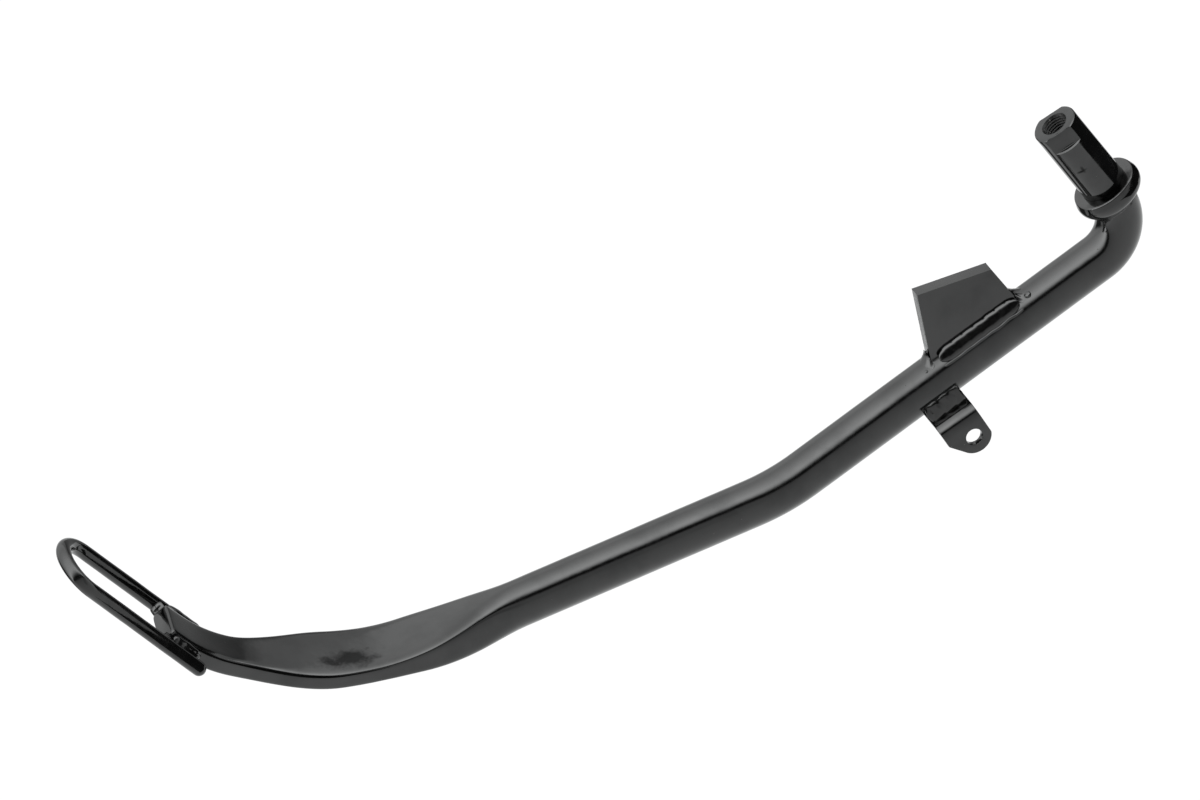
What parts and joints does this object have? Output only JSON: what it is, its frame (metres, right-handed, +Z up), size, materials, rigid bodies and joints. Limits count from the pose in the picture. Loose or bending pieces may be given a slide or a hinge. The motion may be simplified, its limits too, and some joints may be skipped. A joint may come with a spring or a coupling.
{
  "type": "motorcycle kickstand",
  "caption": "Bent and forged bar kickstand leg with a threaded pivot post, thrust collar, stop plate, spring bracket and a rod loop at the foot.",
  "frame": {"origin": "centre of the collar's thrust face, on the pivot post's axis", "axes": "+Z up the pivot post to its threaded end; the leg runs out along -X in the XZ plane; +Y completes the frame, with the spring bracket on the -Y side"},
  "size_m": [0.4347, 0.0402, 0.2288],
  "materials": {
    "post_paint": "gloss black",
    "collar_paint": "gloss black",
    "leg_paint": "gloss black",
    "plate_paint": "gloss black",
    "loop_paint": "gloss black",
    "weld_paint": "gloss black over weld ripple"
  },
  "bodies": {
    "root": {"pivot_post": "post_paint", "pivot_collar": "collar_paint", "collar_weld": "weld_paint", "leg_bar": "leg_paint", "stop_plate": "plate_paint", "stop_plate_weld_near": "weld_paint", "stop_plate_weld_far": "weld_paint", "stop_plate_weld_front": "weld_paint", "stop_plate_weld_back": "weld_paint", "spring_bracket": "plate_paint", "spring_bracket_weld_near": "weld_paint", "spring_bracket_weld_far": "weld_paint", "foot_loop": "loop_paint", "loop_weld_near": "weld_paint", "loop_weld_far": "weld_paint", "loop_weld_tip": "weld_paint"}
  },
  "joints": []
}
